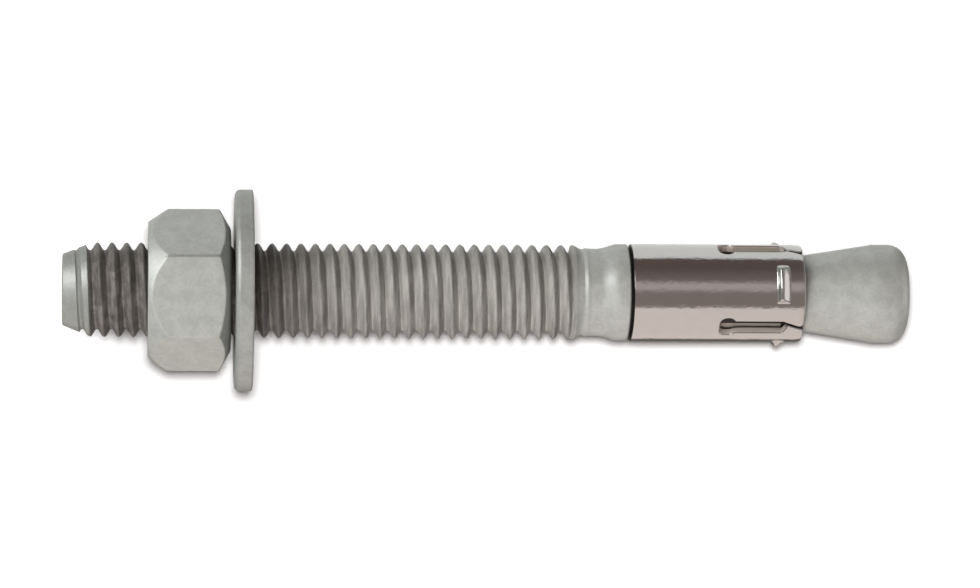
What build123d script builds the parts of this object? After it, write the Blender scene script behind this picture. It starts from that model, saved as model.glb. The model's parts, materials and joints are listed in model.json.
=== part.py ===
from build123d import *
from math import degrees, radians, tan
import os

# Wedge anchor, 1/2 in - 13 UNC x 4-1/2 in: a galvanised stud with a coned mandrel, a slotted expansion clip,
# a hex nut and a flat washer. One solid per piece.
#
# Frame, millimetres: the anchor stands on its threaded end. Its axis is the Z axis, +Z runs into the hole,
# and the origin is the centre of the threaded end. Angles about the axis start at -Y, the front, and go the
# right-hand way about +Z. The stud's thread and the nut's thread are each held as the cylinder of their
# major diameter.

# --- stud ----------------------------------------------------------------------------------------------------
overall_length = 114.3
thread_d = 12.7
point_d = 9.6
point_angle = 21.8
point_edge = 0.35
thread_runout = 0.95
neck_d = 11.85
neck_length = 2.35
collar_d = 13.1
collar_flare = 2.75
collar_width = 1.3
collar_edge = 0.2
cone_length = 8.7
cone_d = 13.15
cone_blend = 6.0
cone_lead = 0.5
land_d = 13.4
land_length = 4.7
end_round = 2.4

# --- expansion clip, with places along it measured back from its free end ------------------------------------
clip_length = 23.25
clip_d = 13.2
clip_gap = 0.37
clip_play = 0.55
clip_clearance = 0.4
sheet = 1.0
sheet_edge = 0.12
front_angle = -10.8
side_angle = 112.5
seam_width = 3.1
slot_angle = 56.4
slot_width = 2.2
slot_length = 11.45
keyhole_length = 2.2
keyhole_width = 3.25
keyhole_round = 1.0
shoulder_place = 2.9
slit_length = 2.2
slit_width = 0.42
slit_slant = 0.88
slit_shift_right = -0.17
slit_shift_left = 1.0
tip_round = 0.6
rib_place = 2.2
rib_back = 0.4
rib_crest = 0.34
rib_front = 0.89
rib_height = 0.65
rib_recess = 0.45
rib_width = 5.05
rib_end_slope = 0.45

# --- nut and washer ------------------------------------------------------------------------------------------
nut_flats = 19.05
nut_height = 11.11
nut_corner_angle = -25.1
nut_outer_face_d = 18.28
nut_outer_angle = 56.0
nut_inner_face_d = 16.5
nut_inner_angle = 30.0
nut_allowance = 0.46
nut_mouth = 0.5
nut_gap = 0.55
washer_d = 27.2
washer_bore = 13.49
washer_thickness = 2.4
washer_round = 0.55
washer_edge = 0.2
bearing_place = 25.5

# --- worked out ----------------------------------------------------------------------------------------------
clip_r = clip_d / 2
mandrel_r = clip_r - sheet - clip_clearance
land_start = overall_length - land_length
cone_end = land_start - cone_lead
cone_start = cone_end - cone_length
clip_end = cone_start - clip_play
clip_start = clip_end - clip_length
collar_end = clip_start - clip_gap
flare_end = collar_end - collar_width
flare_start = flare_end - collar_flare
runout_end = flare_start - neck_length
thread_end = runout_end - thread_runout
washer_base = bearing_place - washer_thickness
nut_top = washer_base - nut_gap
nut_base = nut_top - nut_height
spare = 1.0  # how far a cutter reaches past what it cuts


def turned(*corners):
    """A solid of revolution about the axis, from the radius and height of its corners."""
    return revolve(Plane.XZ * make_face(Polyline(*corners, close=True)), axis=Axis.Z)


def corner(section, radius, height):
    """The corner of a section that lies at this radius and height."""
    return section.vertices().sort_by_distance((radius, height, 0))[0]


def anchor_body():
    """The stud: point, threaded length, neck, collar, mandrel, cone and blunt nose in one bar."""
    thread_r = thread_d / 2
    neck_r = neck_d / 2
    collar_r = collar_d / 2
    land_r = land_d / 2
    point_end = (thread_r - point_d / 2) / tan(radians(point_angle))
    flare_middle = ((neck_r + collar_r) / 2, (flare_start + flare_end) / 2)
    outline = Polyline(
        (0, overall_length),
        (0, 0),
        (point_d / 2, 0),
        (thread_r, point_end),
        (thread_r, thread_end),
        (neck_r, runout_end),
        (neck_r, flare_start),
    )
    outline += TangentArc((neck_r, flare_start), flare_middle, tangent=(0, 1))
    outline += TangentArc((collar_r, flare_end), flare_middle, tangent=(0, -1))
    outline += Polyline(
        (collar_r, flare_end),
        (collar_r, collar_end),
        (mandrel_r, collar_end),
        (mandrel_r, cone_start),
        (cone_d / 2, cone_end),
        (land_r, land_start),
        (land_r, overall_length),
        (0, overall_length),
    )
    section = make_face(outline)
    section = chamfer(corner(section, point_d / 2, 0), point_edge)
    section = chamfer(corner(section, collar_r, collar_end), collar_edge)
    section = fillet(corner(section, mandrel_r, cone_start), cone_blend)
    section = fillet(corner(section, land_r, overall_length), end_round)
    return revolve(Plane.XZ * section, axis=Axis.Z)


def slot_cutter(shift):
    """One slot of the clip, over -Y: keyhole, slot, shoulders and the slanting slit between two round tips."""
    half = slot_width / 2
    slit = slit_width / 2
    keyhole_z = clip_end - slot_length + keyhole_length / 2
    shoulder_z = clip_end - shoulder_place
    slit_z = clip_end - slit_length
    begin = shift - slit_slant / 2
    finish = shift + slit_slant / 2
    mouth = slit + 2 * tip_round
    outline = Polyline(
        (-half, keyhole_z),
        (-half, shoulder_z),
        (begin - slit, slit_z),
        (finish - slit, clip_end),
        (finish - mouth, clip_end),
        (finish - mouth, clip_end + spare),
        (finish + mouth, clip_end + spare),
        (finish + mouth, clip_end),
        (finish + slit, clip_end),
        (begin + slit, slit_z),
        (half, shoulder_z),
        (half, keyhole_z),
        close=True,
    )
    section = make_face(outline)
    tips = [corner(section, finish + side * slit, clip_end) for side in (-1, 1)]
    section = fillet(tips, tip_round)
    section += Pos(0, keyhole_z) * RectangleRounded(keyhole_width, keyhole_length, keyhole_round)
    return extrude(Plane.XZ * section, clip_d, dir=(0, -1, 0))


def rib(surface_r, height, inset):
    """A rib embossed outwards across a finger, over -Y: steep at its back, sloped at its front and ends."""
    front_z = clip_end - rib_place - inset
    crest_end = clip_end - rib_place - rib_front
    crest_start = crest_end - rib_crest
    back_z = crest_start - rib_back + inset
    top_r = surface_r + height
    root_r = surface_r - sheet / 2
    band = turned(
        (root_r, back_z),
        (surface_r, back_z),
        (top_r, crest_start),
        (top_r, crest_end),
        (surface_r, front_z),
        (root_r, front_z),
    )
    base = Vector(0, -surface_r).rotate(Axis.Z, degrees((rib_width / 2 - inset) / surface_r))
    crest = Vector(0, -top_r).rotate(Axis.Z, degrees((rib_width / 2 - rib_end_slope) / surface_r))
    run = crest - base
    high = crest + run
    low = base - run
    across = Polyline((-high.X, high.Y), (-low.X, low.Y), (low.X, low.Y), (high.X, high.Y), close=True)
    wedge = extrude(make_face(across), front_z - back_z + 2 * spare, dir=(0, 0, 1))
    return band & Pos(0, 0, back_z - spare) * wedge


def expansion_clip():
    """The split sleeve of sheet round the mandrel: three fingers, each with a rib that grips the hole."""
    bore_r = clip_r - sheet
    edge = sheet_edge
    clip = turned(
        (bore_r, clip_start),
        (clip_r - edge, clip_start),
        (clip_r, clip_start + edge),
        (clip_r, clip_end - edge),
        (clip_r - edge, clip_end),
        (bore_r, clip_end),
    )
    for turn in (0, side_angle, -side_angle):
        place = Rot(Z=front_angle + turn)
        clip += place * rib(clip_r, rib_height, 0)
        clip -= place * rib(bore_r, rib_recess, rib_height - rib_recess)
    seam = extrude(Pos(0, 0, clip_start - spare) * Rectangle(seam_width, clip_d), clip_length + 2 * spare)
    clip -= Rot(Z=front_angle + 180) * Pos(0, -clip_r, 0) * seam
    clip -= Rot(Z=front_angle + slot_angle) * slot_cutter(slit_shift_right)
    clip -= Rot(Z=front_angle - slot_angle) * slot_cutter(slit_shift_left)
    return clip


def hex_nut():
    """The nut: a hexagon crowned at its outer face, chamfered at its inner one, with a countersunk bore."""
    hexagon = RegularPolygon(nut_flats / 2, 6, major_radius=False, rotation=90)
    blank = extrude(Pos(0, 0, nut_base) * hexagon, nut_height)
    outer_r = nut_outer_face_d / 2
    inner_r = nut_inner_face_d / 2
    past_r = nut_flats / 3**0.5 + spare
    chamfered = turned(
        (0, nut_base),
        (outer_r, nut_base),
        (past_r, nut_base + (past_r - outer_r) * tan(radians(nut_outer_angle))),
        (past_r, nut_top - (past_r - inner_r) * tan(radians(nut_inner_angle))),
        (inner_r, nut_top),
        (0, nut_top),
    )
    bore_r = (thread_d + nut_allowance) / 2
    mouth_r = bore_r + nut_mouth + spare
    bore = turned(
        (0, nut_base - spare),
        (mouth_r, nut_base - spare),
        (bore_r, nut_base + nut_mouth),
        (bore_r, nut_top - nut_mouth),
        (mouth_r, nut_top + spare),
        (0, nut_top + spare),
    )
    return Rot(Z=nut_corner_angle) * (blank & chamfered) - bore


def washer():
    """The flat washer, with the rolled outer edge of a stamping on its nut side."""
    outer_r = washer_d / 2
    bore_r = washer_bore / 2
    return turned(
        (bore_r, washer_base + washer_edge),
        (bore_r + washer_edge, washer_base),
        (outer_r - washer_round, washer_base),
        (outer_r, washer_base + washer_round),
        (outer_r, bearing_place - washer_edge),
        (outer_r - washer_edge, bearing_place),
        (bore_r, bearing_place),
    )


if __name__ == "__main__":
    os.makedirs("parts", exist_ok=True)
    for piece in (anchor_body, expansion_clip, hex_nut, washer):
        export_step(piece(), f"parts/{piece.__name__}.step")
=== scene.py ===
import json
import math

import bmesh
import bpy
from bpy.props import FloatProperty, FloatVectorProperty, PointerProperty
from mathutils import Matrix, Vector


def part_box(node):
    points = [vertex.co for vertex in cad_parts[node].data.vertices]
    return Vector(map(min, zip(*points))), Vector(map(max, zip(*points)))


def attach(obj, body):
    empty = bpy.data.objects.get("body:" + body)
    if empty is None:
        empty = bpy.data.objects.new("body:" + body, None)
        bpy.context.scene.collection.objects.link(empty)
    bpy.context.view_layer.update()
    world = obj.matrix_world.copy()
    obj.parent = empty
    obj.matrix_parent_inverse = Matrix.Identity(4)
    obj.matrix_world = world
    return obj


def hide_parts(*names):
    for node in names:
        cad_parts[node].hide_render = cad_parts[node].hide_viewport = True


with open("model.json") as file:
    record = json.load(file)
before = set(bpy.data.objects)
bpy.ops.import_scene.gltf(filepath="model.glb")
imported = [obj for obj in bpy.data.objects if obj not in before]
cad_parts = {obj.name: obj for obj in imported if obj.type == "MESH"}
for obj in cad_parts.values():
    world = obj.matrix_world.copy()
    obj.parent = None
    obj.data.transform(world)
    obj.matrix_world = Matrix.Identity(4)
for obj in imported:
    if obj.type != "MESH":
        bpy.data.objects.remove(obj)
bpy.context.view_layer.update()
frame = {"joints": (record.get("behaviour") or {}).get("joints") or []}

bl_info = {
    "name": "Wedge anchor",
    "version": (1, 0, 0),
    "blender": (4, 5, 0),
    "location": "3D View > Sidebar > Anchor",
    "description": "A galvanised wedge anchor with its nut, washer and stainless expansion clip",
    "category": "Add Mesh",
}

# The anchor stands on its threaded end. Its axis is Z, +Z runs into the hole and the origin is the centre of
# the threaded end. Angles about the axis start at -Y, the front, and go the right-hand way about +Z.

MM = 0.001
WELD = 0.0005 * MM  # points nearer to each other than this are one
AROUND = 128  # facets round a turned piece
ROUNDING = 6  # facets across the rounding of a corner
FLANK = math.radians(30)  # slope of a thread's flanks


# --- settings -----------------------------------------------------------------------------------------------


def place(name, millimetres, description, **limits):
    """A place or shift that a user may change, with its default given in millimetres."""
    return FloatProperty(
        name=name,
        description=description,
        default=millimetres * MM,
        precision=5,
        unit="LENGTH",
        subtype="DISTANCE",
        **limits,
    )


def length(name, millimetres, description):
    """A length, which is never negative, with its default given in millimetres."""
    return place(name, millimetres, description, min=0.0)


def angle(name, degrees, description):
    """An angle that a user may change, with its default given in degrees."""
    return FloatProperty(
        name=name, description=description, default=math.radians(degrees), unit="ROTATION", subtype="ANGLE"
    )


def factor(name, value, description):
    """A plain number, such as a roughness."""
    return FloatProperty(name=name, description=description, default=value, precision=3, subtype="FACTOR")


def colour(name, red, green, blue, description):
    """A colour in linear light."""
    return FloatVectorProperty(
        name=name,
        description=description,
        default=(red, green, blue),
        size=3,
        min=0.0,
        max=1.0,
        subtype="COLOR",
    )


class ThreadSettings(bpy.types.PropertyGroup):
    pitch: length("Pitch", 25.4 / 13, "Distance from one crest to the next")
    crest: length("Crest radius", 6.35, "Radius of the stud's crests")
    depth: length("Depth", 1.02, "Depth of the stud's groove")
    crest_flat: length("Crest flat", 0.42, "Width of the flat on each crest")
    start: place("First crest", 4.66, "Height of a crest on the -X side")
    rolled_from: length("Rolled from", 3.0, "Height where the bare point turns into the rolled thread")
    fade_start: length("Fade starts", 68.2, "Height where the groove starts to run out")
    fade_length: length("Fade length", 1.5, "Length over which the groove runs out")
    nut_crest: length("Nut groove radius", 6.6, "Radius of the groove in the nut")
    nut_root: length("Nut bore radius", 5.6, "Radius of the ridges in the nut")


class StudSettings(bpy.types.PropertyGroup):
    point: length("Point radius", 4.8, "Radius of the flat threaded end, before its edge is rounded")
    point_slope: factor("Point slope", 0.4, "Rise of the point's radius along the axis")
    point_round: length("Point round", 0.4, "Radius of the edge of the threaded end")
    thread_end: length("Thread end", 68.95, "Height where the crests start to fall to the neck")
    thread_round: length("Thread round", 0.4, "Radius of the edge where the crests end")
    neck: length("Neck radius", 5.925, "Radius between the thread and the collar")
    neck_start: length("Neck start", 69.83, "Height where the neck starts")
    neck_round: length("Neck round", 0.2, "Radius of the soft bends where the neck starts")
    flare_start: length("Flare start", 72.18, "Height where the neck starts to flare")
    flare_end: length("Flare end", 74.93, "Height where the flare reaches the collar")
    collar: length("Collar radius", 6.55, "Radius of the collar below the clip")
    collar_end: length("Collar end", 76.23, "Height of the collar's face")
    collar_round: length("Collar round", 0.3, "Radius of the collar's edge")
    mandrel: length("Mandrel radius", 5.2, "Radius of the mandrel inside the clip")
    cone_start: length("Cone start", 100.4, "Height where the cone starts")
    cone_blend: length("Cone blend", 6.0, "Radius of the hollow between mandrel and cone")
    cone_end: length("Cone end", 109.1, "Height where the cone ends")
    cone: length("Cone radius", 6.575, "Radius at the cone's end")
    land: length("Land radius", 6.7, "Radius of the short cylinder after the cone")
    land_start: length("Land start", 109.6, "Height where the land starts")
    end_round: length("End round", 2.4, "Radius of the nose's edge")


class NutSettings(bpy.types.PropertyGroup):
    flats: length("Across flats", 19.05, "Distance across the flats")
    corner: angle("Corner angle", -25.1, "Angle of the corner nearest the front")
    outer_face: length("Outer face radius", 9.14, "Radius where the crown meets the outer face")
    crown: angle("Crown", 56.0, "Slope of the crown from the outer face")
    inner_face: length("Inner face radius", 8.25, "Radius where the chamfer meets the face beside the washer")
    chamfer: angle("Chamfer", 30.0, "Slope of the chamfer from the face beside the washer")
    corner_round: length("Edge round", 0.17, "Radius of the zinc-coated edges")
    mouth: length("Mouth", 0.5, "Depth of the countersink at each mouth of the bore")


class WasherSettings(bpy.types.PropertyGroup):
    round_low: length("Rolled edge", 0.7, "Radius of the outer edge on the nut's side")
    round_high: length("Sheared edge", 0.3, "Radius of the other edges")
    bore: length("Bore radius", 6.745, "Radius of the hole")


class ClipSettings(bpy.types.PropertyGroup):
    radius: length("Radius", 6.6, "Outer radius of the rolled sheet")
    sheet: length("Sheet", 1.0, "Thickness of the sheet")
    edge: length("Edge round", 0.13, "Radius of the sheet's edges")
    front: angle("Front finger", -10.8, "Angle of the middle of the front finger")
    seam: length("Seam", 3.1, "Width of the open seam")
    slot_angle: angle("Slot angle", 56.4, "Angle from the front finger to each slot")
    slot_width: length("Slot width", 2.2, "Width of each slot")
    slot_length: length("Slot length", 11.45, "Length of each slot from the free end")
    key_width: length("Keyhole width", 3.25, "Width of the keyhole that ends each slot")
    key_length: length("Keyhole length", 2.2, "Length of the keyhole")
    key_round: length("Keyhole round", 1.0, "Radius of the keyhole's corners")
    shoulder: length("Shoulder place", 2.9, "Where the slot narrows, measured from the free end")
    shoulder_round: length("Shoulder round", 0.15, "Radius of the bends at the shoulders and the slit")
    slit_length: length("Slit length", 2.2, "Length of the slit at the free end")
    slit_width: length("Slit width", 0.42, "Width of the slit")
    slit_slant: place("Slit slant", 0.88, "How far the slit leans over its length")
    slit_right: place("Right slit", -0.17, "Shift of the slit from the middle of the right slot")
    slit_left: place("Left slit", 1.0, "Shift of the slit from the middle of the left slot")
    tip_round: length("Tip round", 0.6, "Radius of the fingers' corners")
    draw: length("Draw", 0.09, "How far the fingers' tips are drawn in")
    draw_length: length("Draw length", 1.4, "Length over which the tips are drawn in")
    rib_angle: angle("Side rib angle", 112.5, "Angle from the front rib to the side ribs")
    rib_place: length("Rib place", 2.2, "Front foot of the ribs, measured from the free end")
    rib_back: length("Rib back", 0.4, "Length of the rib's steep back")
    rib_crest: length("Rib crest", 0.34, "Length of the rib's crest")
    rib_front: length("Rib front", 0.89, "Length of the rib's gentle front")
    rib_width: length("Rib width", 5.05, "Width of the rib round the clip")
    rib_height: length("Rib height", 0.65, "Height of the rib")
    rib_end: length("Rib end", 0.45, "Length of the slope at each end of the rib")
    rib_soft: length("Rib softness", 0.07, "How far the rib's bends are rounded")


class FinishSettings(bpy.types.PropertyGroup):
    zinc_light: colour("Zinc, light", 0.49, 0.51, 0.485, "Light patches of the galvanised coat")
    zinc_dark: colour("Zinc, dark", 0.405, 0.42, 0.40, "Dark patches of the galvanised coat")
    washer_shade: factor("Washer shade", 0.77, "How dark the washer's coat is beside the nut's")
    point_shade: factor("Point shade", 0.72, "How dark the bare point is beside the rest of the coat")
    thread: colour("Thread", 0.41, 0.40, 0.372, "The rolled thread's clean length")
    stained: colour("Stained thread", 0.213, 0.198, 0.181, "Oil and dirt in the thread round the nut")
    stain_start: length("Stain start", 24.0, "Height where the thread starts to come clean")
    stain_end: length("Stain end", 42.0, "Height from which the thread is clean")
    steel: colour("Stainless sheet", 0.60, 0.595, 0.58, "Colour of the clip")
    sheared: colour("Sheared edge", 0.58, 0.53, 0.48, "Colour of the clip's cut edges")
    bare: colour("Bare mandrel", 0.50, 0.45, 0.41, "Colour of the mandrel inside the clip")
    # The near-black used for real dirt on the coat, and also for painted shade in hollows and beside the clip
    # and washer.
    grime_and_shade: colour("Grime", 0.03, 0.027, 0.025, "Dirt on the coat, in the thread and beside the clip's edges")
    zinc_roughness: factor("Zinc roughness", 0.46, "Roughness of the galvanised coat")
    zinc_metallic: factor("Zinc metallic", 0.5, "How much the coat shines as metal")
    steel_roughness: factor("Steel roughness", 0.13, "Roughness of the stainless sheet")


class StudioSettings(bpy.types.PropertyGroup):
    tilt: angle("Tilt", 4.5, "How far the camera looks up along the axis")
    roll: angle("Roll", 0.31, "Turn of the camera about its own axis")
    distance: length("Distance", 600.0, "Distance from the camera to the anchor")
    height: length("Height", 57.64, "Height on the axis that the camera looks at")
    drop: length("Drop", 0.31, "How far to the +X side of the axis the camera looks")
    lens: FloatProperty(name="Lens", description="Focal length", default=162.8, unit="CAMERA")
    sheet: length("Sheet", 1600.0, "Side of the floor and of the backdrop")
    sunk: length("Sunk", 20.0, "How far the backdrop reaches below the floor")
    clearance: length("Clearance", 0.3, "Gap between the backdrop and the washer's furthest reach")


SETTINGS = {
    "anchor_thread": ThreadSettings,
    "anchor_stud": StudSettings,
    "anchor_nut": NutSettings,
    "anchor_washer": WasherSettings,
    "anchor_clip": ClipSettings,
    "anchor_finish": FinishSettings,
    "anchor_studio": StudioSettings,
}


# --- mesh helpers -------------------------------------------------------------------------------------------


def select_none():
    bpy.ops.object.select_all(action="DESELECT")


def alone(piece):
    """Makes a piece the only selected and the active object."""
    select_none()
    piece.select_set(True)
    bpy.context.view_layer.objects.active = piece


def wire(name, points, closed=False):
    """A new object of straight edges through the points."""
    mesh = bpy.data.meshes.new(name)
    count = len(points)
    ends = [(i, (i + 1) % count) for i in range(count if closed else count - 1)]
    mesh.from_pydata([tuple(p) for p in points], ends, [])
    piece = bpy.data.objects.new(name, mesh)
    bpy.context.scene.collection.objects.link(piece)
    return piece


def rounded(corners):
    """The corners of an outline, each given as x, y and a radius, with the round ones as arcs."""
    points = []
    count = len(corners)
    for i, (x, y, radius) in enumerate(corners):
        here = Vector((x, y))
        if radius <= 0:
            points.append(here)
            continue
        before = (Vector(corners[i - 1][:2]) - here).normalized()
        after = (Vector(corners[(i + 1) % count][:2]) - here).normalized()
        half = before.angle(after) / 2
        middle = here + (before + after).normalized() * radius / math.sin(half)
        start = here + before * radius / math.tan(half) - middle
        turn = start.angle_signed(here + after * radius / math.tan(half) - middle)
        for step in range(ROUNDING + 1):
            points.append(middle + Matrix.Rotation(-turn * step / ROUNDING, 2) @ start)
    return points


def edit(piece, *steps):
    """Runs edit-mode steps, each of them on all of a piece's mesh."""
    alone(piece)
    bpy.ops.object.mode_set(mode="EDIT")
    for step in steps:
        bpy.ops.mesh.select_all(action="SELECT")
        step()
    bpy.ops.object.mode_set(mode="OBJECT")


def edit_where(piece, kind, wanted, step):
    """Runs an edit-mode step on those faces or edges of a piece that are wanted."""
    alone(piece)
    bpy.ops.object.mode_set(mode="EDIT")
    bpy.ops.mesh.select_mode(type=kind)
    bpy.ops.mesh.select_all(action="DESELECT")
    mesh = bmesh.from_edit_mesh(piece.data)
    for element in mesh.faces if kind == "FACE" else mesh.edges:
        element.select_set(wanted(element))
    bmesh.update_edit_mesh(piece.data)
    step()
    bpy.ops.object.mode_set(mode="OBJECT")


def weld():
    bpy.ops.mesh.remove_doubles(threshold=WELD)


def face_out():
    bpy.ops.mesh.normals_make_consistent(inside=False)


def lathe(name, corners, closed=False):
    """A turned piece: an outline of radius, height and rounding, spun about the axis."""
    piece = wire(name, [(p.x, 0, p.y) for p in rounded(corners)], closed)
    edit(
        piece,
        lambda: bpy.ops.mesh.spin(steps=AROUND, angle=math.tau, center=(0, 0, 0), axis=(0, 0, 1)),
        weld,
        face_out,
    )
    return piece


def modify(piece, kind, **settings):
    """Adds a modifier, sets it and applies it."""
    alone(piece)
    modifier = piece.modifiers.new(kind.lower(), kind)
    for name, value in settings.items():
        setattr(modifier, name, value)
    bpy.ops.object.modifier_apply(modifier=modifier.name)


def combine(piece, operation, other):
    """Joins, cuts or intersects a piece with another, which is used up."""
    modify(piece, "BOOLEAN", operation=operation, object=other, solver="EXACT")
    bpy.data.objects.remove(other)


def smooth(piece, degrees=32):
    """Smooth shading with edges kept where faces meet at more than this angle, weighted by face area."""
    alone(piece)
    bpy.ops.object.shade_smooth_by_angle(angle=math.radians(degrees))
    modify(piece, "WEIGHTED_NORMAL", mode="FACE_AREA", weight=80, keep_sharp=True)


def finish_piece(piece, node, body, material):
    """Gives a piece its material and hands it to the frame in place of a CAD node."""
    piece.data.materials.clear()
    piece.data.materials.append(material)
    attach(piece, body)
    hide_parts(node)


# --- thread -------------------------------------------------------------------------------------------------


def thread_turn(thread, depth):
    """The outline of one turn, from groove to groove: places along the axis and depths below the crest."""
    lean = math.tan(FLANK)
    flat = thread.crest_flat / 2
    run = depth * lean
    soft = 0.09 * MM  # half the width of the soft bend at each side of crest and groove
    crown = 0.02 * MM  # how far the crest's sides lie below its middle
    half = [
        (0, 0),
        (flat - soft, crown),
        (flat + soft, soft / lean + crown),
        *((flat + run * part, depth * part) for part in (0.35, 0.5, 0.65)),
        (flat + run - soft, depth - soft / lean),
        (flat + run + soft, depth),
        (thread.pitch / 2, depth),
    ]
    return [(-along, down) for along, down in reversed(half[1:])] + half


def threaded_rod(name, thread, crest, root, low, high, swell=None):
    """A closed rod of right-hand thread from low to high, which may swell where its thread runs out."""
    turns = math.ceil((high - low) / thread.pitch) + 3
    first = thread.start - thread.pitch / 2
    first += thread.pitch * (math.floor((low - first) / thread.pitch) - 1)
    rod = wire(name, [(crest - down, 0, first + along) for along, down in thread_turn(thread, crest - root)])
    modify(
        rod,
        "SCREW",
        axis="Z",
        angle=math.tau,
        screw_offset=thread.pitch,
        iterations=turns,
        steps=AROUND,
        render_steps=AROUND,
        use_merge_vertices=False,
    )
    edit(rod, weld)
    if swell:
        run_out(rod, thread, swell)
    for height, up in ((low, -1), (high, 1)):
        edit(
            rod,
            lambda: bpy.ops.mesh.bisect(
                plane_co=(0, 0, height),
                plane_no=(0, 0, up),
                use_fill=True,
                clear_outer=True,
                threshold=WELD,
            ),
        )
    edit(rod, face_out)
    return rod


def run_out(rod, thread, swell):
    """Lets the thread run out by widening crest and groove alike to one radius."""
    for vertex in rod.data.vertices:
        gone = min(max((vertex.co.z - thread.fade_start) / thread.fade_length, 0), 1)
        radius = vertex.co.xy.length
        wanted = radius + (swell - radius) * gone * gone * (3 - 2 * gone)
        vertex.co.xy *= wanted / radius


# --- stud ---------------------------------------------------------------------------------------------------


class ANCHOR_OT_stud(bpy.types.Operator):
    """Make the stud: a turned bar cut by a rolled thread"""

    bl_idname = "anchor.stud"
    bl_label = "Stud"

    def execute(self, context):
        stud = context.scene.anchor_stud
        thread = context.scene.anchor_thread
        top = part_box("anchor_body")[1].z
        over_crests = thread.crest + 0.1 * MM
        on_crests = thread.crest + 0.01 * MM
        blank = lathe(
            "stud_blank",
            [
                (0, 0, 0),
                (stud.point, 0, stud.point_round),
                (over_crests, (over_crests - stud.point) / stud.point_slope, 0),
                (over_crests, stud.thread_end - thread.pitch, 0),
                (on_crests, stud.thread_end - thread.pitch / 2, 0),
                (on_crests, stud.thread_end, stud.thread_round),
                *neck_wave(stud),
                (stud.neck, stud.flare_start, 0),
                *flare(stud),
                (stud.collar, stud.flare_end, 0),
                (stud.collar, stud.collar_end, stud.collar_round),
                (stud.mandrel, stud.collar_end, 0),
                (stud.mandrel, stud.cone_start, stud.cone_blend),
                (stud.cone, stud.cone_end, 0),
                (stud.land, stud.land_start, 0),
                (stud.land, top, stud.end_round),
                (0, top, 0),
            ],
        )
        spare = 1.5 * MM  # how far the rod reaches past the blank
        neck = stud.neck_start + spare / 2
        root = thread.crest - thread.depth
        rod = threaded_rod("threaded_stud", thread, thread.crest, root, -spare, neck, stud.land + spare)
        lengthen(rod, neck, top + spare)
        combine(rod, "INTERSECT", blank)
        smooth(rod)
        coat = Zinc(context, "stud_zinc")
        coat.stain_and_shade_thread(thread)
        coat.bare_mandrel(stud, context.scene.anchor_clip)
        finish_piece(rod, "anchor_body", "stud", coat.material())
        return {"FINISHED"}


def neck_wave(stud):
    """The soft bends where the neck starts, as corners: a little hollow and then a little full."""
    for out, up in ((0, -0.2), (-0.1, 0.2), (0.06, 0.65), (0, 1.1)):
        yield stud.neck + out * MM, stud.neck_start + up * MM, stud.neck_round


def flare(stud, steps=8):
    """The S-shaped rise from neck to collar, as corners between its ends."""
    for step in range(1, steps):
        part = step / steps
        rise = (1 - math.cos(math.pi * part)) / 2
        yield (
            stud.neck + (stud.collar - stud.neck) * rise,
            stud.flare_start + (stud.flare_end - stud.flare_start) * part,
            0,
        )


def lengthen(rod, low, high):
    """Carries the rod's upper end face on to a new height."""
    edit_where(
        rod,
        "FACE",
        lambda face: face.normal.z > 0.9 and abs(face.calc_center_median().z - low) < WELD,
        lambda: bpy.ops.mesh.extrude_region_move(TRANSFORM_OT_translate={"value": (0, 0, high - low)}),
    )


# --- nut and washer -----------------------------------------------------------------------------------------


class ANCHOR_OT_nut(bpy.types.Operator):
    """Make the nut: a chamfered hexagon with a tapped bore"""

    bl_idname = "anchor.nut"
    bl_label = "Nut"

    def execute(self, context):
        nut = context.scene.anchor_nut
        thread = context.scene.anchor_thread
        low, high = (corner.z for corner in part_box("hex_nut"))
        radius = nut.flats / math.sqrt(3)
        spare = 1.0 * MM  # how far a cutter reaches past what it cuts
        select_none()
        bpy.ops.mesh.primitive_cylinder_add(
            vertices=6,
            radius=radius,
            depth=high - low,
            location=(0, 0, (low + high) / 2),
            rotation=(0, 0, nut.corner),
        )
        hexagon = context.object
        hexagon.name = "zinc_nut"
        bpy.ops.object.transform_apply(location=True, rotation=True, scale=True)
        past = radius + spare
        crown = low + (past - nut.outer_face) * math.tan(nut.crown)
        chamfer = high - (past - nut.inner_face) * math.tan(nut.chamfer)
        low_side = [(0, low, 0), (nut.outer_face, low, 0), (past, crown, 0)]
        high_side = [(past, chamfer, 0), (nut.inner_face, high, 0), (0, high, 0)]
        combine(hexagon, "INTERSECT", lathe("chamfers", low_side + high_side))
        round_outside(hexagon, nut.corner_round)
        wide = thread.nut_crest + nut.mouth
        narrow = thread.nut_crest - spare
        for face, out in ((low, -1), (high, 1)):
            outside, inside = face + out * spare, face + out * (narrow - wide)
            corners = [(0, outside, 0), (wide + spare, outside, 0), (narrow, inside, 0), (0, inside, 0)]
            combine(hexagon, "DIFFERENCE", lathe("mouth", corners))
        tap = threaded_rod("tap", thread, thread.nut_crest, thread.nut_root, low - spare, high + spare)
        combine(hexagon, "DIFFERENCE", tap)
        smooth(hexagon)
        coat = Zinc(context, "nut_zinc")
        coat.darken_nut(nut)
        finish_piece(hexagon, "hex_nut", "nut", coat.material())
        return {"FINISHED"}


def round_outside(piece, radius):
    """Rounds all the edges of a convex piece that are sharper than its turned faces."""
    edit_where(
        piece,
        "EDGE",
        lambda edge: len(edge.link_faces) == 2 and edge.calc_face_angle() > math.radians(20),
        lambda: bpy.ops.mesh.bevel(
            offset=radius, offset_type="OFFSET", segments=4, affect="EDGES", clamp_overlap=False
        ),
    )


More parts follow.
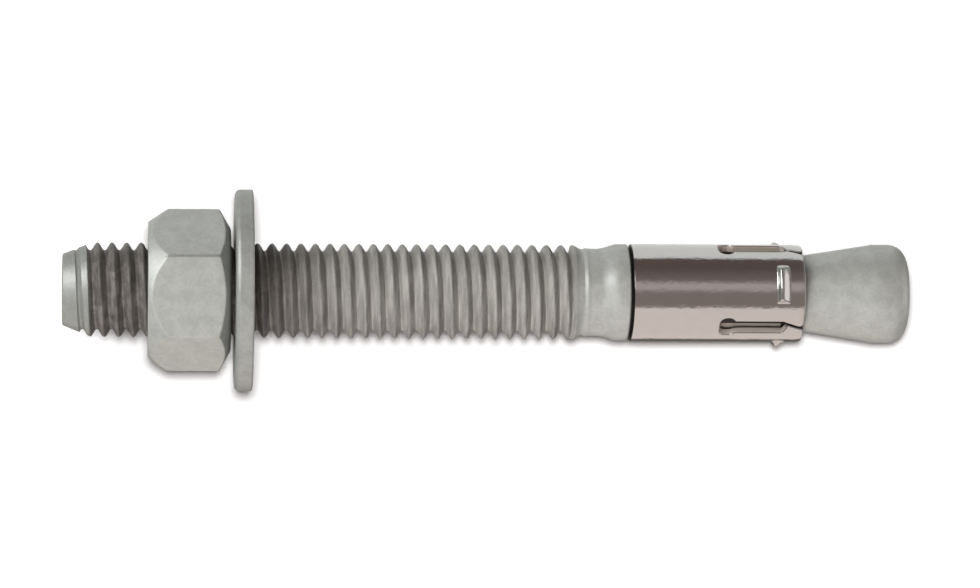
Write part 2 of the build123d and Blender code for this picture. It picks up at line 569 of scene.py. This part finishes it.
class ANCHOR_OT_washer(bpy.types.Operator):
    """Make the flat washer"""

    bl_idname = "anchor.washer"
    bl_label = "Washer"

    def execute(self, context):
        washer = context.scene.anchor_washer
        lower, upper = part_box("washer")
        corners = [
            (washer.bore, lower.z, washer.round_high),
            (upper.x, lower.z, washer.round_low),
            (upper.x, upper.z, washer.round_high),
            (washer.bore, upper.z, washer.round_high),
        ]
        piece = lathe("flat_washer", corners, closed=True)
        smooth(piece)
        coat = Zinc(context, "washer_zinc", context.scene.anchor_finish.washer_shade)
        finish_piece(piece, "washer", "washer", coat.material())
        return {"FINISHED"}


# --- clip ---------------------------------------------------------------------------------------------------

# The clip's sheet is first laid out flat, outer face up: x goes round the clip from the middle of the front
# finger, y along the axis to the free end, and z out through the sheet.


class ANCHOR_OT_clip(bpy.types.Operator):
    """Make the expansion clip: a flat blank cut, embossed and rolled up"""

    bl_idname = "anchor.clip"
    bl_label = "Expansion clip"

    def execute(self, context):
        clip = context.scene.anchor_clip
        low, high = (corner.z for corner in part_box("expansion_clip"))
        end = high - low
        sheet = flat_blank("rolled_clip", clip, end)
        for across in lines_across(clip):
            divide(sheet, Vector((across, 0, 0)), Vector((1, 0, 0)))
        for along in lines_along(clip, end):
            divide(sheet, Vector((0, along, 0)), Vector((0, 1, 0)))
        emboss(sheet, clip, end)
        roll_up(sheet, clip, low)
        smooth(sheet, 40)
        finish_piece(sheet, "expansion_clip", "clip", stainless(context))
        return {"FINISHED"}


def half_width(clip):
    """Half the width of the flat sheet, from the front finger's middle to the seam."""
    return math.pi * clip.radius - clip.seam / 2


def rib_middles(clip):
    """The places of the three ribs across the sheet."""
    side = clip.rib_angle * clip.radius
    return [0, side, -side]


def rib_feet(clip, end):
    """The places of the ribs' back foot and front foot along the sheet."""
    foot = end - clip.rib_place
    return foot - clip.rib_front - clip.rib_crest - clip.rib_back, foot


def slot_corners(clip, middle, shift, end):
    """One slot's corners, from its right tip round the keyhole to its left tip."""
    half = clip.slot_width / 2
    slit = clip.slit_width / 2
    key = clip.key_width / 2
    bottom = end - clip.slot_length
    round_at = bottom + clip.key_length - clip.key_round
    turn = math.acos(1 - (key - half) / clip.key_round)
    mouth = round_at + clip.key_round * math.sin(turn)
    corner = round_at + clip.key_round * math.tan(turn / 2)
    shoulder = end - clip.shoulder
    slit_at = end - clip.slit_length
    begin = shift - clip.slit_slant / 2
    finish = shift + clip.slit_slant / 2
    right = [
        (finish + slit, end, clip.tip_round),
        (begin + slit, slit_at, clip.shoulder_round),
        (half, shoulder, clip.shoulder_round),
        (half, mouth, 0),
        (key, corner, clip.key_round),
        (key, bottom, clip.key_round),
    ]
    left = [
        (-key, bottom, clip.key_round),
        (-key, corner, clip.key_round),
        (-half, mouth, 0),
        (-half, shoulder, clip.shoulder_round),
        (begin - slit, slit_at, clip.shoulder_round),
        (finish - slit, end, clip.tip_round),
    ]
    return [(middle + x, y, radius) for x, y, radius in right + left]


def flat_blank(name, clip, end):
    """The flat sheet with both slots cut and its edges broken."""
    half = half_width(clip)
    slot = clip.slot_angle * clip.radius
    corners = [
        (-half, 0, clip.tip_round / 2),
        (half, 0, clip.tip_round / 2),
        (half, end, clip.tip_round),
        *slot_corners(clip, slot, clip.slit_right, end),
        *slot_corners(clip, -slot, clip.slit_left, end),
        (-half, end, clip.tip_round),
    ]
    blank = wire(name, [(p.x, p.y, 0) for p in rounded(corners)], closed=True)
    edit(
        blank,
        weld,
        bpy.ops.mesh.edge_face_add,
        lambda: bpy.ops.mesh.extrude_region_move(TRANSFORM_OT_translate={"value": (0, 0, -clip.sheet)}),
        face_out,
    )
    edit_where(
        blank,
        "EDGE",
        lambda edge: abs(edge.verts[0].co.z - edge.verts[1].co.z) < WELD,
        lambda: bpy.ops.mesh.bevel(offset=clip.edge, segments=3, affect="EDGES", clamp_overlap=False),
    )
    return blank


def lines_across(clip):
    """Where the sheet is divided across: closely over the ribs, and elsewhere as the roundness needs."""
    half = half_width(clip)
    middles = rib_middles(clip)
    coarse = 0.3 * MM
    fine = 0.1 * MM
    reach = clip.rib_width / 2 + coarse
    across = -half + coarse
    while across < half - coarse / 2:
        yield across
        across += fine if any(abs(across - middle) < reach for middle in middles) else coarse


def lines_along(clip, end):
    """Where the sheet is divided along: closely over the ribs, and beside the rounded and drawn-in ends."""
    back, foot = rib_feet(clip, end)
    fine = 0.08 * MM
    spare = 5
    steps = math.ceil((foot - back) / fine)
    ribs = [back + fine * step for step in range(-spare, steps + spare + 1)]
    edges = [clip.edge * 1.2, clip.edge * 2.5, end - clip.edge * 1.2]
    tips = [end - clip.draw_length * step / 5 for step in range(1, 6)]
    rest = [end * step / 8 for step in range(1, 7)]
    return ribs + edges + tips + rest


def divide(sheet, point, normal):
    edit(sheet, lambda: bpy.ops.mesh.bisect(plane_co=point, plane_no=normal, threshold=WELD))


def soft_least(values, soft):
    """The least of some numbers, with its corners rounded."""
    least = min(values)
    return least - soft * math.log(sum(math.exp((least - value) / soft) for value in values))


def emboss(sheet, clip, end):
    """Pushes the three ribs out of the sheet, both faces together."""
    back, foot = rib_feet(clip, end)
    middles = rib_middles(clip)
    for vertex in sheet.data.vertices:
        across = min(abs(vertex.co.x - middle) for middle in middles)
        slopes = (
            clip.rib_height,
            (vertex.co.y - back) * clip.rib_height / clip.rib_back,
            (foot - vertex.co.y) * clip.rib_height / clip.rib_front,
            (clip.rib_width / 2 - across) * clip.rib_height / clip.rib_end,
        )
        rise = soft_least(slopes, clip.rib_soft)
        if rise > -4 * clip.rib_soft:
            vertex.co.z += clip.rib_soft * math.log(1 + math.exp(rise / clip.rib_soft))


def roll_up(sheet, clip, low):
    """Rolls the sheet about the axis, with its outer face at the clip's radius and its free end drawn in."""
    end = max(vertex.co.y for vertex in sheet.data.vertices)
    for vertex in sheet.data.vertices:
        drawn = max(0, 1 - (end - vertex.co.y) / clip.draw_length) ** 2 * clip.draw
        radius = clip.radius + vertex.co.z - drawn
        turn = clip.front + vertex.co.x / clip.radius
        vertex.co = (radius * math.sin(turn), -radius * math.cos(turn), low + vertex.co.y)
    edit(sheet, face_out)


# --- studio -------------------------------------------------------------------------------------------------

MIDDLE = Vector((0, 0, 57 * MM))  # the anchor's middle, at which each lamp is aimed
LAMP_AWAY = 0.6  # from there to each lamp


class ANCHOR_OT_studio(bpy.types.Operator):
    """Make the floor, the backdrop, the lights and the camera"""

    bl_idname = "anchor.studio"
    bl_label = "Studio"

    def execute(self, context):
        studio = context.scene.anchor_studio
        up = Vector((0, -math.sin(studio.tilt), math.cos(studio.tilt)))
        away = Vector((0, math.cos(studio.tilt), math.sin(studio.tilt)))
        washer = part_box("washer")[1]
        reach = washer.z + max(j["range_m"][1] for j in frame["joints"] if j["type"] == "slide")
        depth = away.y * washer.x + away.z * reach + studio.clearance
        stand = away * depth + up * (studio.sheet / 2 - studio.sunk)
        floor = paper_sheet("floor", studio.sheet, Vector(), 0)
        backdrop = paper_sheet("backdrop", studio.sheet, stand, math.pi / 2 + studio.tilt)
        aim_camera(context, up, away)

        sheets = (floor, backdrop)
        shine_on(lamp("gleam", -45, -50, (0.3, 0.36), 1.5), sheets, "EXCLUDE")
        shine_on(lamp("glint", -26, -36, (0.24, 0.24), 0.6), sheets, "EXCLUDE")
        shine_on(lamp("key", 28, -16, (0.3, 0.3), 2.9, mirrored=False), sheets, "EXCLUDE")
        backdrop_light = lamp("backdrop_light", -2.7, -4.5, (0.05, 0.05), 5.3, mirrored=False)
        shine_on(backdrop_light, [backdrop], "INCLUDE")
        shine_on(lamp("floor_light", -20, 55, (0.3, 0.3), 1.3, mirrored=False), [floor], "INCLUDE")
        sky(context)
        context.scene.view_settings.view_transform = "Standard"
        return {"FINISHED"}


def paper_sheet(name, size, middle, lean):
    """A square of white paper that keeps the anchor's shadow and takes no part in its light."""
    select_none()
    bpy.ops.mesh.primitive_plane_add(size=size, location=middle, rotation=(lean, 0, 0))
    sheet = bpy.context.object
    sheet.name = name
    bpy.ops.object.transform_apply(location=True, rotation=True, scale=True)
    sheet.data.materials.append(white_paper(name + "_paper"))
    sheet.visible_diffuse = False
    sheet.visible_glossy = False
    sheet.visible_transmission = False
    sheet.visible_shadow = False
    return sheet


def aim_camera(context, up, away):
    """The camera, turned so that the anchor's axis runs across its picture."""
    studio = context.scene.anchor_studio
    camera = bpy.data.objects.new("camera", bpy.data.cameras.new("camera"))
    context.scene.collection.objects.link(camera)
    right = up * math.cos(studio.roll) + Vector((-1, 0, 0)) * math.sin(studio.roll)
    top = Vector((-1, 0, 0)) * math.cos(studio.roll) - up * math.sin(studio.roll)
    target = Vector((0, 0, studio.height)) - top * studio.drop
    basis = Matrix((right, top, -away)).transposed().to_4x4()
    camera.matrix_world = Matrix.Translation(target - away * studio.distance) @ basis
    camera.data.lens = studio.lens
    camera.data.sensor_width = 36.0
    camera.data.clip_start = 0.01
    context.scene.camera = camera


def shine_on(light, sheets, state):
    """Lets a lamp reach only these sheets, or all but these sheets."""
    group = bpy.data.collections.new(light.name + "_reach")
    for sheet in sheets:
        group.objects.link(sheet)
    for entry in group.collection_objects:
        entry.light_linking.link_state = state
    light.light_linking.receiver_collection = group


def lamp(name, around, above, size, power, mirrored=True):
    """A softbox aimed at the anchor, by its angle from the front and its slope, mirrored in metal or not."""
    light = bpy.data.lights.new(name, "AREA")
    light.shape = "RECTANGLE"
    light.size, light.size_y = size
    light.energy = power
    softbox = bpy.data.objects.new(name, light)
    bpy.context.scene.collection.objects.link(softbox)
    turn, rise = math.radians(around), math.radians(above)
    out = Vector((math.sin(turn) * math.cos(rise), -math.cos(turn) * math.cos(rise), math.sin(rise)))
    softbox.location = MIDDLE + out * LAMP_AWAY
    softbox.rotation_euler = out.to_track_quat("Z", "Y").to_euler()
    softbox.visible_glossy = mirrored
    return softbox


# --- finishes -----------------------------------------------------------------------------------------------


class Value:
    """A number that varies over a surface: a node's socket, with arithmetic that adds Math nodes."""

    def __init__(self, finish, socket):
        self.finish = finish
        self.socket = socket

    def maths(self, operation, *others):
        return self.finish.add("ShaderNodeMath", {"operation": operation}, [self, *others])

    def __add__(self, other):
        return self.maths("ADD", other)

    def __sub__(self, other):
        return self.maths("SUBTRACT", other)

    def __rsub__(self, other):
        return self.finish.add("ShaderNodeMath", {"operation": "SUBTRACT"}, [other, self])

    def __mul__(self, other):
        return self.maths("MULTIPLY", other)

    def __truediv__(self, other):
        return self.maths("DIVIDE", other)

    __radd__ = __add__
    __rmul__ = __mul__


def either(*masks):
    """A mask that holds wherever any of these masks does."""
    return 1 - math.prod(1 - mask for mask in masks)


def shaded(tint, shade):
    """A colour made darker or lighter."""
    return tuple(part * shade for part in tint)


# A Mix node has its sockets for numbers, vectors and colours side by side. These are the ones for colours.
MIX_FACTOR, MIX_FIRST, MIX_SECOND, MIX_RESULT = 0, 6, 7, 2


class Finish:
    """A node tree, and the one way in which its nodes are added."""

    def __init__(self, owner):
        owner.use_nodes = True
        self.owner = owner
        self.tree = owner.node_tree
        self.tree.nodes.clear()

    def add(self, kind, settings=None, inputs=None, output=0):
        """Adds a node, sets it, fills its sockets by name or in order, and gives one of its outputs."""
        node = self.tree.nodes.new(kind)
        for name, value in (settings or {}).items():
            if name == "stops":
                ramp = node.color_ramp
                while len(ramp.elements) < len(value):
                    ramp.elements.new(1.0)
                for element, (position, tint) in zip(ramp.elements, value):
                    element.position = position
                    element.color = (*tint, 1.0)
            else:
                setattr(node, name, value)
        filled = inputs.items() if isinstance(inputs, dict) else enumerate(inputs or [])
        for key, value in filled:
            socket = node.inputs[key]
            if isinstance(value, Value):
                self.tree.links.new(value.socket, socket)
            else:
                socket.default_value = (*value, 1.0) if socket.type == "RGBA" else value
        return Value(self, node.outputs[output]) if node.outputs else node

    def on_piece(self):
        """The place of a point on its piece, which the finish rides on."""
        return self.add("ShaderNodeTexCoord", output="Object")

    def stretched(self, where, scale):
        """A place with its three parts scaled, which draws a pattern out along the smaller ones."""
        return self.add("ShaderNodeMapping", None, {"Vector": where, "Scale": scale})

    def parts(self, vector):
        """The three parts of a vector."""
        split = self.add("ShaderNodeSeparateXYZ", None, [vector]).socket.node
        return [Value(self, socket) for socket in split.outputs]

    def polar(self, where):
        """The radius and the height of a place."""
        x, y, z = self.parts(where)
        return (x * x + y * y).maths("SQRT"), z

    def noise(self, where, scale, detail=2.0, roughness=0.5, distortion=0.0):
        """Noise from 0 to 1, its scale in millimetres."""
        sockets = {"Vector": where, "Scale": 1 / (scale * MM), "Detail": detail}
        sockets |= {"Roughness": roughness, "Distortion": distortion}
        return self.add("ShaderNodeTexNoise", None, sockets)

    def between(self, value, low, high):
        """A smooth step from 0 at low to 1 at high."""
        sockets = {"Value": value, "From Min": low, "From Max": high}
        return self.add("ShaderNodeMapRange", {"interpolation_type": "SMOOTHSTEP"}, sockets)

    def mix(self, amount, first, second):
        """Mixes two colours."""
        sockets = {MIX_FACTOR: amount, MIX_FIRST: first, MIX_SECOND: second}
        return self.add("ShaderNodeMix", {"data_type": "RGBA"}, sockets, MIX_RESULT)

    def along(self, vector, way):
        """How far a vector reaches along a direction."""
        return self.add("ShaderNodeVectorMath", {"operation": "DOT_PRODUCT"}, [vector, way], "Value")

    def strip(self, where, around, low, high, out, soft):
        """A strip along the axis, beside the line at an angle round it, from a distance out and beyond."""
        facing = self.along(where, (math.sin(around), -math.cos(around), 0))
        beside = self.along(where, (math.cos(around), math.sin(around), 0))
        sides = self.between(beside, low - soft, low) * self.between(beside, high + soft, high)
        return sides * self.between(facing, out - soft, out)

    def bump(self, strength, distance, height):
        """A normal that follows a height, its distance in millimetres."""
        sockets = {"Strength": strength, "Distance": distance * MM, "Height": height}
        return self.add("ShaderNodeBump", None, sockets)

    def surface(self, **sockets):
        """The finished material, from its shader's sockets by their names with spaces as underscores."""
        inputs = {name.replace("_", " "): value for name, value in sockets.items()}
        shader = self.add("ShaderNodeBsdfPrincipled", None, inputs)
        self.add("ShaderNodeOutputMaterial", None, {"Surface": shader})
        return self.owner


class Zinc(Finish):
    """The galvanised coat: mottled matt grey, on which each piece may lay its own dirt and painted shade."""

    def __init__(self, context, name, shade=1.0):
        super().__init__(bpy.data.materials.new(name))
        self.look = context.scene.anchor_finish
        self.where = self.on_piece()
        self.radius, self.height = self.polar(self.where)
        self.patches = self.noise(self.where, 1.6, 4.0, 0.65, 0.4)
        self.grain = self.noise(self.where, 0.35, 3.0, 0.6)
        self.specks = self.noise(self.where, 0.12)
        self.tone = self.between(self.patches * 0.6 + self.grain * 0.4, 0.36, 0.64)
        self.body = self.mottled(shade)
        self.metallic = self.look.zinc_metallic

    def mottled(self, shade):
        """The coat's dark and light patches."""
        return self.mix(self.tone, shaded(self.look.zinc_dark, shade), shaded(self.look.zinc_light, shade))

    def soil_and_shade(self, amount):
        """Lays the near-black over what the coat shows so far, as dirt at some calls and as painted shade at
        others.
        """
        self.body = self.mix(amount, self.body, self.look.grime_and_shade)

    def stain_and_shade_thread(self, thread):
        """The rolled thread, stained by oil and dirt round the nut, with painted shade on its crests and on
        its flanks that face up the axis, and the bare point before it.
        """
        look, coat = self.look, self.body
        rolled = self.between(self.height, thread.rolled_from, thread.rolled_from + 1 * MM)
        run_out = self.between(self.height, thread.fade_start, thread.fade_start + thread.fade_length)
        wander = (self.patches - 0.5) * 12 * MM
        clean = self.between(self.height + wander, look.stain_start, look.stain_end)
        self.body = self.mix(clean, look.stained, look.thread)
        self.soil_and_shade(self.between(self.patches, 0.4, 0.6) * (1 - clean) * 0.45)
        # Painted shade: the crests are darkened so that they read less lit than the flanks that face the
        # light.
        flats = thread.crest - thread.depth * 0.1
        crests = self.between(self.radius, flats - thread.depth * 0.25, flats)
        streaks = self.noise(self.stretched(self.where, (0.1, 0.1, 1.0)), 0.5, 3.0, 0.6)
        streaks = self.between(streaks * 0.7 + self.specks * 0.3, 0.4, 0.6)
        # Painted shade: the flanks whose normal faces +Z are darkened, as if turned away from the light.
        outwards = self.add("ShaderNodeNewGeometry", output="Normal")
        shaded_upper_flanks = self.between(self.along(outwards, (0, 0, 1)), 0.2, 0.75)
        # Streaks of dirt along the thread, together with the painted shade on the crests and on the flanks
        # facing +Z.
        self.soil_and_shade(crests * 0.2 + streaks * 0.36 + shaded_upper_flanks * 0.22)
        threaded = rolled * (1 - run_out)
        bare = self.mix(rolled, self.mottled(look.point_shade), coat)
        self.body = self.mix(threaded, bare, self.body)
        self.metallic = self.metallic - threaded * 0.4

    def bare_mandrel(self, stud, clip):
        """The bare mandrel inside the clip, with painted shade where the clip's edges and the collar shade
        it.
        """
        past_collar = self.between(self.height, stud.collar_end - 0.1 * MM, stud.collar_end + 0.3 * MM)
        past_cone = self.between(self.height, stud.cone_start - 0.9 * MM, stud.cone_start + 0.1 * MM)
        # Painted shadow: a black strip on the mandrel beside the slot's upper wall, where that wall shades
        # it.
        slot = clip.front + clip.slot_angle
        slot_shadow = self.strip(self.where, slot, -1.0 * MM, 0.45 * MM, 2 * MM, 0.2 * MM)
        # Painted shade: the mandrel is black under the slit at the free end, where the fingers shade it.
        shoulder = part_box("expansion_clip")[1].z - clip.shoulder
        slit_shade = self.between(self.height, shoulder - 0.2 * MM, shoulder + 0.1 * MM)
        # Painted shade: the mandrel is black just past the collar, in the narrow opening before the clip.
        gap_end = stud.collar_end + 0.7 * MM
        gap_shade = self.between(self.height, gap_end, gap_end - 0.2 * MM)
        bare = self.mix(either(slot_shadow, slit_shade, gap_shade), self.look.bare, self.look.grime_and_shade)
        self.body = self.mix(past_collar * (1 - past_cone), self.body, bare)

    def darken_nut(self, nut):
        """A dark line along the nut's front edge, and painted shade where the nut meets the washer."""
        # A thin dark line along the nut's edge nearest the front.
        edge = nut.flats / math.sqrt(3) - 0.25 * MM
        line = self.strip(self.where, nut.corner, 0.05 * MM, 0.2 * MM, edge, 0.15 * MM)
        self.soil_and_shade(line * (0.25 + self.tone * 0.3))
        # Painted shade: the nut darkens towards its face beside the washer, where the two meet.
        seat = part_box("hex_nut")[1].z
        self.soil_and_shade(self.between(self.height, seat - 0.5 * MM, seat) * 0.65)

    def material(self):
        """The finished material."""
        return self.surface(
            Base_Color=self.body,
            Metallic=self.metallic,
            Roughness=self.look.zinc_roughness + (self.grain - 0.5) * 0.25,
            Normal=self.bump(0.35, 0.05, self.grain * 0.7 + self.specks * 0.3),
        )


def stainless(context):
    """The stainless sheet: bright rolled metal, duller at its cut edges, with painted shade on the cut walls
    near the free end and on the end beside the collar.
    """
    look = context.scene.anchor_finish
    clip = context.scene.anchor_clip
    low, high = (corner.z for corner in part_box("expansion_clip"))
    finish = Finish(bpy.data.materials.new("stainless_sheet"))
    where = finish.on_piece()
    radius, height = finish.polar(where)
    lines = finish.noise(finish.stretched(where, (1.0, 1.0, 0.08)), 0.2, 3.0, 0.6)
    patches = finish.noise(where, 1.6, 3.0, 0.6)
    rolled = finish.between(radius, clip.radius - clip.edge * 1.6, clip.radius - clip.edge * 0.8)
    # Painted shade: the cut walls from the shoulders on through the slit are made near-black.
    slit_start = high - clip.shoulder + 0.3 * MM
    slit = (1 - rolled) * finish.between(height, slit_start, high - clip.slit_length)
    # Painted shade: the clip's end face beside the collar is made near-black.
    collar_end = finish.between(height, low + clip.edge, low + clip.edge * 0.4)
    bright = finish.mix(patches, shaded(look.steel, 0.93), look.steel)
    body = finish.mix(either(slit, collar_end), finish.mix(rolled, look.sheared, bright), look.grime_and_shade)
    dull = 0.5
    return finish.surface(
        Base_Color=body,
        Metallic=0.3 + rolled * 0.7,
        Roughness=dull + (look.steel_roughness - dull + (lines - 0.5) * 0.12) * rolled,
        Normal=finish.bump(0.8, 0.06, lines * 0.1 + patches * 0.9),
    )


def white_paper(name):
    """Paper that takes shadows, glows at its foot, where light is short, and is clear from behind."""
    finish = Finish(bpy.data.materials.new(name))
    seen = finish.add("ShaderNodeLightPath", output="Is Camera Ray")
    behind = finish.add("ShaderNodeNewGeometry", output="Backfacing")
    paper = finish.add("ShaderNodeBsdfDiffuse", None, {"Color": (0.62, 0.62, 0.62)})
    height = finish.parts(finish.on_piece())[2]
    strength = seen * finish.between(height, 9 * MM, 0) * 0.8
    glow = finish.add("ShaderNodeEmission", None, {"Strength": strength})
    lit = finish.add("ShaderNodeAddShader", None, [paper, glow])
    clear = finish.add("ShaderNodeBsdfTransparent")
    shown = finish.add("ShaderNodeMixShader", None, [seen * behind, lit, clear])
    finish.add("ShaderNodeOutputMaterial", None, {"Surface": shown})
    return finish.owner


# The studio's light by its angle round the anchor: white paper behind, and a window in a dark room in front.
STUDIO_SIDES = (
    (-180, (0.86, 0.86, 0.84)),
    (-91, (0.86, 0.86, 0.84)),
    (-88, (0.13, 0.098, 0.09)),
    (-60, (0.13, 0.098, 0.09)),
    (-30, (0.22, 0.18, 0.17)),
    (-20, (0.54, 0.47, 0.46)),
    (-10, (0.54, 0.47, 0.46)),
    (0, (0.285, 0.235, 0.22)),
    (34, (0.285, 0.235, 0.22)),
    (37, (0.93, 0.82, 0.78)),
    (138, (0.93, 0.82, 0.78)),
    (146, (0.15, 0.14, 0.13)),
    (180, (0.15, 0.14, 0.13)),
)

# The light from above, from overhead and from below: the rise of a direction at which it starts, the rise at
# which it is full, and its colour.
STUDIO_ENDS = (
    (0.26, 0.5, (0.32, 0.31, 0.305)),
    (0.84, 0.92, (1.1, 1.02, 0.99)),
    (-0.3, -0.6, (0.37, 0.37, 0.365)),
)


def sky(context):
    """The studio round the anchor: white to the camera, and otherwise its bright and dark sides."""
    world = bpy.data.worlds.new("studio_sky")
    context.scene.world = world
    finish = Finish(world)
    x, y, z = finish.parts(finish.add("ShaderNodeTexCoord"))
    around = x.maths("ARCTAN2", 0 - y) / math.tau + 0.5
    stops = [(degrees / 360 + 0.5, tint) for degrees, tint in STUDIO_SIDES]
    light = finish.add("ShaderNodeValToRGB", {"stops": stops}, [around])
    for start, full, tint in STUDIO_ENDS:
        light = finish.mix(finish.between(z, start, full), light, tint)
    seen = finish.add("ShaderNodeLightPath", output="Is Camera Ray")
    light = finish.mix(seen, light, (1.0, 1.0, 1.0))
    background = finish.add("ShaderNodeBackground", None, [light])
    finish.add("ShaderNodeOutputWorld", None, {"Surface": background})


# --- panel and running --------------------------------------------------------------------------------------


class ANCHOR_PT_panel(bpy.types.Panel):
    """The anchor's pieces, each with its settings"""

    bl_idname = "ANCHOR_PT_panel"
    bl_label = "Wedge anchor"
    bl_space_type = "VIEW_3D"
    bl_region_type = "UI"
    bl_category = "Anchor"

    def draw(self, context):
        for operator in OPERATORS:
            self.layout.operator(operator.bl_idname)
        for name, group in SETTINGS.items():
            box = self.layout.box()
            box.label(text=group.__name__.replace("Settings", ""))
            for field in group.__annotations__:
                box.prop(getattr(context.scene, name), field)


OPERATORS = (ANCHOR_OT_studio, ANCHOR_OT_stud, ANCHOR_OT_nut, ANCHOR_OT_washer, ANCHOR_OT_clip)


def register():
    for item in (*SETTINGS.values(), *OPERATORS, ANCHOR_PT_panel):
        bpy.utils.register_class(item)
    for name, group in SETTINGS.items():
        setattr(bpy.types.Scene, name, PointerProperty(type=group))


def unregister():
    for name in SETTINGS:
        delattr(bpy.types.Scene, name)
    for item in (ANCHOR_PT_panel, *OPERATORS, *SETTINGS.values()):
        bpy.utils.unregister_class(item)


def main():
    register()
    bpy.ops.anchor.studio()
    bpy.ops.anchor.stud()
    bpy.ops.anchor.nut()
    bpy.ops.anchor.washer()
    bpy.ops.anchor.clip()


if __name__ == "__main__":
    main()
